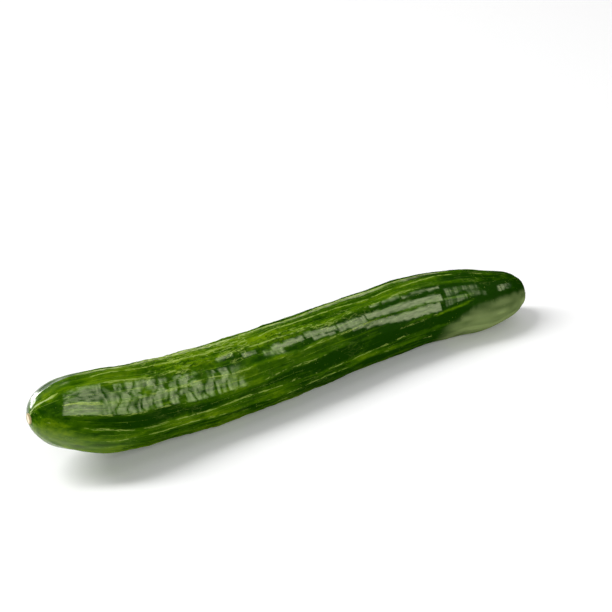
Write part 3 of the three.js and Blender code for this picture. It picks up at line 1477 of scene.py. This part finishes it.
@dataclass(frozen=True)
class SkinFinish:
    """The waxy skin, with its streaks, pale rib lines and flecks, the scar and the cut stem.

    Attributes:
        shade: the darkest green.
        green: the usual green.
        olive: the lightest green of the streaks.
        line: the pale lines along the ribs.
        ridge_and_glint: the same where they are brightest, which beside the scar is a painted highlight.
        fleck: the tiny pale dots.
        bloom: the painted reflection of the pale floor, low down at the ends.
        scar: the middle of the blossom scar.
        scar_rim: its corky rim.
        stub: the sides of the stem.
        cut: the cut face of the stem.
        cut_middle: the dark middle of the cut face.
        tones: the tones at which the skin has its three greens, from shade to olive.
        usual: the tone where nothing makes it lighter.
        streaked: how much lighter streaks make it.
        blotched: how much lighter or darker blotches make it.
        stroked: how much fine strokes do, and how much more of that is where it is lively.
        lit_rib: how much lighter it is near a rib.
        bright: how strong a pale line is where ridge's colour starts, and where it is all there.
        line_strength: how far the lines cover the green.
        fleck_rate: how many dots there would be in a row of a millimetre.
        fleck_strength: how far they cover the green.
        fleck_size: where a dot starts to show and where it is full, as shares of its room.
        pale_curls: the size of the pale curly lines, and how thinly they are scattered.
        dark_curls: the same for the dark ones.
        curls_apart: how far the pattern of the dark ones is from that of the others.
        curl_strength: how far the pale ones and the dark ones cover the green.
        bloom_strength: how far the full painted reflection covers it.
        rim: from how far from its middle the scar is all rim, and up to where it has none.
        pith: the same for the cut face and its dark middle.
        coat_roughness: how blurred the wax's gloss is.
        coat_ior: how strongly it bends light.
        coat_in_strokes: how much wax there is between fine strokes, and how much more on them.
        coat_lost: how much of it the pale lines lose.
        roughness: the skin's roughness, how much rougher patches are, and the scar and the stem.
        grain: the height of its streaks, its wrinkles and its pale lines, in millimetres.
    """

    shade: Colour = (0.007, 0.038, 0.0001)
    green: Colour = (0.038, 0.107, 0.0004)
    olive: Colour = (0.15, 0.26, 0.003)
    line: Colour = (0.34, 0.46, 0.09)
    ridge_and_glint: Colour = (0.6, 0.72, 0.3)
    fleck: Colour = (0.20, 0.30, 0.05)
    bloom: Colour = (0.28, 0.36, 0.13)
    scar: Colour = (0.9, 0.76, 0.58)
    scar_rim: Colour = (0.42, 0.34, 0.17)
    stub: Colour = (0.10, 0.15, 0.05)
    cut: Colour = (0.34, 0.38, 0.22)
    cut_middle: Colour = (0.08, 0.09, 0.04)
    tones: tuple[float, float, float] = (0.34, 0.5, 0.74)
    usual: float = 0.17
    streaked: float = 0.66
    blotched: float = 0.5
    stroked: tuple[float, float] = (0.2, 0.3)
    lit_rib: float = 0.1
    bright: tuple[float, float] = (1.2, 1.9)
    line_strength: float = 0.7
    fleck_rate: float = 0.55
    fleck_strength: float = 0.5
    fleck_size: tuple[float, float] = (0.22, 0.12)
    pale_curls: tuple[float, float] = (3.2, 0.49)
    dark_curls: tuple[float, float] = (2.8, 0.44)
    curls_apart: float = 40
    curl_strength: tuple[float, float] = (0.64, 0.8)
    bloom_strength: float = 0.85
    rim: tuple[float, float] = (2.9, 1.9)
    pith: tuple[float, float] = (2.4, 0.8)
    coat_roughness: float = 0.16
    coat_ior: float = 1.45
    coat_in_strokes: tuple[float, float] = (0.55, 0.45)
    coat_lost: float = 0.7
    roughness: tuple[float, float, float] = (0.5, 0.1, 0.3)
    grain: tuple[float, float, float] = (0.18, 0.14, 0.05)

    def material(self) -> bpy.types.Material:
        """Makes the material.

        Returns:
            The material.
        """
        graph = Graph("cucumber_skin")
        place = graph.told(Site.PLACE)
        rib = abs(graph.told(Site.RIB))
        colour = self._green(graph, place, rib)
        line = self._lines(graph, place, rib)
        bright = graph.told(Site.CREST).between(*self.bright)
        # The brightest pale lines take the ridge colour; beside the scar that is a painted highlight.
        colour = line.mix(colour, bright.mix(self.line, self.ridge_and_glint))
        colour = self._flecks(graph, place).mix(colour, self.fleck)
        lively = graph.told(Site.LIVELY)
        pale, dark = self.curl_strength
        curls = pale * lively * self._curls(graph, place, *self.pale_curls)
        colour = curls.mix(colour, self.line)
        curls = dark * lively * self._curls(graph, place + (self.curls_apart, 0, 0), *self.dark_curls)
        colour = curls.mix(colour, self.shade)
        # A painted reflection of the pale floor, low down at both ends.
        colour = (self.bloom_strength * graph.told(Site.BLOOM)).mix(colour, self.bloom)
        colour = self._tips(graph, place, colour)
        dry = graph.told(Site.SCAR) + graph.told(Site.STUB)
        strokes = graph.noise(place, 1.1, along=0.2, detail=4, rough=0.6).between(0.3, 0.62)
        least, more = self.coat_in_strokes
        waxed = graph.told(Site.GLOSS) * (least + more * strokes)
        usual, uneven, drier = self.roughness
        surface = {
            "Base Color": colour,
            "Roughness": usual + uneven * graph.noise(place, 7) + drier * dry,
            "IOR": 1.02,
            "Specular IOR Level": 0,
            "Coat Weight": waxed * (1 - dry) * (1 - self.coat_lost * line),
            "Coat Roughness": self.coat_roughness,
            "Coat IOR": self.coat_ior,
            "Normal": self._bump(graph, place, line),
        }
        return graph.finish(graph.node("ShaderNodeBsdfPrincipled", {}, surface))

    def _green(self, graph: Graph, place: Socket, rib: Socket) -> Socket:
        """The green of the skin, streaked along its length and lighter towards the ribs.

        Args:
            graph: the material's nodes.
            place: the place on the body.
            rib: the distance to the nearest rib.

        Returns:
            The colour.
        """
        streaks = graph.noise(place, 3, along=0.11, detail=6, rough=0.64)
        blotches = graph.noise(place, 12, along=0.5) - 0.5
        strokes = graph.noise(place, 1.7, along=0.6, detail=4, rough=0.65) - 0.5
        near = rib.between(3.6, 0.4) - 0.4
        least, more = self.stroked
        fine = (least + more * graph.told(Site.LIVELY)) * strokes
        tone = self.usual + self.streaked * streaks + self.blotched * blotches + fine
        tone = tone + self.lit_rib * near + graph.told(Site.TONE)
        stops = tuple(zip(self.tones, (self.shade, self.green, self.olive)))
        return graph.node("ShaderNodeValToRGB", {"stops": stops}, {"Fac": tone})

    def _lines(self, graph: Graph, place: Socket, rib: Socket) -> Socket:
        """The broken pale lines that waver along the ribs.

        Args:
            graph: the material's nodes.
            place: the place on the body.
            rib: the distance to the nearest rib.

        Returns:
            How far the skin has the lines' colour.
        """
        crest = graph.told(Site.CREST)
        waver = 2.6 * (graph.noise(place, 3, along=0.5, detail=4, rough=0.6) - 0.44)
        wider, slimmer = crest.between(1, 1.4), crest.between(1.45, 1.65)
        shown = abs(rib - waver).between(0.36 + 0.7 * wider - 0.6 * slimmer, 0.02)
        broken = graph.noise(place, 4, along=0.5, detail=4, rough=0.65)
        kept = (broken + 0.4 * (crest - 0.5)).between(0.5, 0.62)
        return self.line_strength * shown * kept

    def _flecks(self, graph: Graph, place: Socket) -> Socket:
        """The tiny pale dots scattered over the skin.

        Args:
            graph: the material's nodes.
            place: the place on the body.

        Returns:
            How far the skin has the dots' colour.
        """
        inputs = {"Vector": place, "Scale": self.fleck_rate, "Randomness": 1}
        spread = graph.node("ShaderNodeTexVoronoi", {}, inputs)
        few = graph.noise(place, 5).between(0.5, 0.62)
        return self.fleck_strength * spread.between(*self.fleck_size) * few

    def _curls(self, graph: Graph, place: Socket, size: float, thinly: float) -> Socket:
        """Thin curly lines in scattered patches.

        Args:
            graph: the material's nodes.
            place: the place on the body.
            size: how large their curls are.
            thinly: how thinly the patches are scattered, about 0.5.

        Returns:
            How far a point is on a line.
        """
        bend = graph.noise(place, size, along=0.34)
        patch = graph.noise(place, 9, along=0.5).between(thinly, thinly + 0.05)
        return abs(bend - 0.5).between(0.036, 0.004) * patch

    def _tips(self, graph: Graph, place: Socket, colour: Socket) -> Socket:
        """Adds the scar and the stem to the skin's colour.

        Args:
            graph: the material's nodes.
            place: the place on the body.
            colour: the skin's colour.

        Returns:
            The colour with the tips.
        """
        middle = graph.told(Site.FROM_AXIS)
        uneven = graph.noise(place, 1.2) - 0.5
        scar = (middle + 1.2 * uneven).between(*self.rim).mix(self.scar_rim, self.scar)
        colour = (graph.told(Site.SCAR) + 0.9 * uneven).between(0.3, 0.62).mix(colour, scar)
        colour = graph.told(Site.STUB).mix(colour, self.stub)
        cut = (middle + uneven).between(*self.pith).mix(self.cut, self.cut_middle)
        return graph.told(Site.CUT).mix(colour, cut)

    def _bump(self, graph: Graph, place: Socket, line: Socket) -> Socket:
        """The fine grain of the skin's surface.

        Args:
            graph: the material's nodes.
            place: the place on the body.
            line: how far the skin has the pale lines, which stand a little proud.

        Returns:
            The normal.
        """
        streaks = graph.noise(place, 1.4, along=0.12, detail=4, rough=0.6)
        wrinkles = graph.noise(place, 1.8, along=0.7, detail=4, rough=0.55)
        streak, wrinkle, proud = self.grain
        height = streak * streaks + wrinkle * wrinkles + proud * line
        return graph.node("ShaderNodeBump", {}, {"Strength": 1, "Distance": 0.001, "Height": height})


@dataclass(frozen=True)
class PaleFloor:
    """The plain floor that the cucumber lies on.

    Attributes:
        colour: its colour.
        glow: how brightly it glows, like a floor lit from below.
        half_width: half of its width, in metres.
        roughness: how matt it is.
        uneven: how much more so its specks are.
        speck: the size of the specks, in metres.
    """

    colour: Colour = (0.93, 0.93, 0.93)
    glow: float = 0.07
    half_width: float = 15
    roughness: float = 0.8
    uneven: float = 0.1
    speck: float = 0.004

    def build(self) -> bpy.types.Object:
        """Makes the floor.

        Returns:
            The floor.
        """
        w = self.half_width
        mesh = bpy.data.meshes.new("floor")
        mesh.from_pydata([(-w, -w, 0), (w, -w, 0), (w, w, 0), (-w, w, 0)], [], [(0, 1, 2, 3)])
        graph = Graph("floor_white")
        specks = graph.noise(graph.node("ShaderNodeTexCoord", {}, {}, "Object"), self.speck)
        matt = self.roughness + self.uneven * specks
        surface = {"Base Color": self.colour, "Roughness": matt, "Specular IOR Level": 0}
        surface |= {"Emission Color": (1, 1, 1), "Emission Strength": self.glow}
        mesh.materials.append(graph.finish(graph.node("ShaderNodeBsdfPrincipled", {}, surface)))
        floor = bpy.data.objects.new("floor", mesh)
        bpy.context.scene.collection.objects.link(floor)
        return floor


class Reach(Enum):
    """What a light shows in: everything, only what is matt, or only gloss."""

    ALL = "all"
    MATT = "matt"
    GLOSS = "gloss"


@dataclass(frozen=True)
class Softbox:
    """One soft studio light.

    Attributes:
        name: its name.
        place: where its middle is, in metres.
        aim: the point that it faces.
        width: its width.
        height: its height.
        radiance: how bright its face is, where 1 makes a white surface facing it white.
        reach: what it shows in.
        roll: how far it is turned on its stand, in degrees.
        tint: its colour.
    """

    name: str
    place: tuple[float, float, float]
    aim: tuple[float, float, float]
    width: float
    height: float
    radiance: float
    reach: Reach = Reach.ALL
    roll: float = 0
    tint: Colour = (1, 1, 1)

    def build(self) -> None:
        """Hangs the light."""
        light = bpy.data.lights.new(self.name, "AREA")
        light.shape = "RECTANGLE"
        light.color = self.tint
        light.size = self.width
        light.size_y = self.height
        light.energy = self.radiance * math.pi * self.width * self.height
        lamp = bpy.data.objects.new(self.name, light)
        lamp.location = self.place
        back = Vector(self.place) - Vector(self.aim)
        turned = Quaternion((0, 0, 1), math.radians(self.roll))
        lamp.rotation_euler = (back.to_track_quat("Z", "Y") @ turned).to_euler()
        lamp.visible_camera = False
        lamp.visible_diffuse = self.reach is not Reach.GLOSS
        lamp.visible_glossy = self.reach is not Reach.MATT
        bpy.context.scene.collection.objects.link(lamp)


@dataclass
class Studio:
    """The floor, the lights and the camera.

    Attributes:
        azimuth: how far the camera is turned from looking along +Y, in degrees.
        elevation: how far it looks down, in degrees.
        distance: from the camera to the point that it looks at, in metres.
        aim: that point.
        lens: the focal length in millimetres, for a sensor 36 mm wide.
        surround: the brightness of the room.
    """

    azimuth: float = -30.5
    elevation: float = 30
    distance: float = 0.855
    aim: tuple[float, float, float] = (0.0361, 0.051, 0.019)
    lens: float = 79.41
    surround: float = 0.18
    floor: PaleFloor = PaleFloor()
    lights: tuple[Softbox, ...] = (
        Softbox("key", (-2.04, 1.09, 2.76), (0, 0, 0), 0.65, 2.5, 22, Reach.MATT),
        Softbox("overhead", (1.2, 1.2, 3.2), (1.2, 1.2, 0), 5, 5, 0.48, Reach.MATT),
        Softbox("fill", (-0.4, -2.4, 1.8), (0, 0, 0), 2, 1.5, 2.6, Reach.MATT),
        Softbox(
            "front", (0.365, -0.5, 0.807), (0.145, 0.1, 0.037), 2.02, 1.59, 6.8, Reach.GLOSS, -41,
            (0.94, 1, 0.6),
        ),
        Softbox("back", (-0.6, 0.8, 0.2), (-0.15, 0, 0.04), 1, 0.62, 20, Reach.GLOSS),
        Softbox("rim", (0.68, 1.08, 0.84), (0, 0, 0.04), 1.2, 0.55, 4, Reach.GLOSS, 0, (1, 1, 0.6)),
    )

    def build(self) -> None:
        """Sets up the studio."""
        self.floor.build()
        for light in self.lights:
            light.build()
        world = bpy.data.worlds.new("room")
        world.use_nodes = True
        background = world.node_tree.nodes["Background"]
        background.inputs["Color"].default_value = (1, 1, 1, 1)
        background.inputs["Strength"].default_value = self.surround
        scene = bpy.context.scene
        scene.world = world
        scene.view_settings.view_transform = "Standard"
        scene.camera = self.camera()

    def camera(self) -> bpy.types.Object:
        """Sets up the camera.

        Returns:
            The camera.
        """
        turn, tilt = math.radians(self.azimuth), math.radians(self.elevation)
        level = math.cos(tilt)
        back = Vector((math.sin(turn) * level, -math.cos(turn) * level, math.sin(tilt)))
        lens = bpy.data.cameras.new("camera")
        lens.lens = self.lens
        camera = bpy.data.objects.new("camera", lens)
        camera.location = Vector(self.aim) + self.distance * back
        camera.rotation_euler = back.to_track_quat("Z", "Y").to_euler()
        bpy.context.scene.collection.objects.link(camera)
        return camera


def main() -> None:
    """Builds the cucumber and the studio round it."""
    logging.basicConfig(level=logging.INFO)
    skin = CucumberBody().build(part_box(NODE))
    skin.data.materials.append(SkinFinish().material())
    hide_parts(NODE)
    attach(skin, "root")
    log.info("%s: %d points, %d faces", PIECE, len(skin.data.vertices), len(skin.data.polygons))
    Studio().build()
    log.info("studio: floor, lights and camera")


if __name__ == "__main__":
    main()
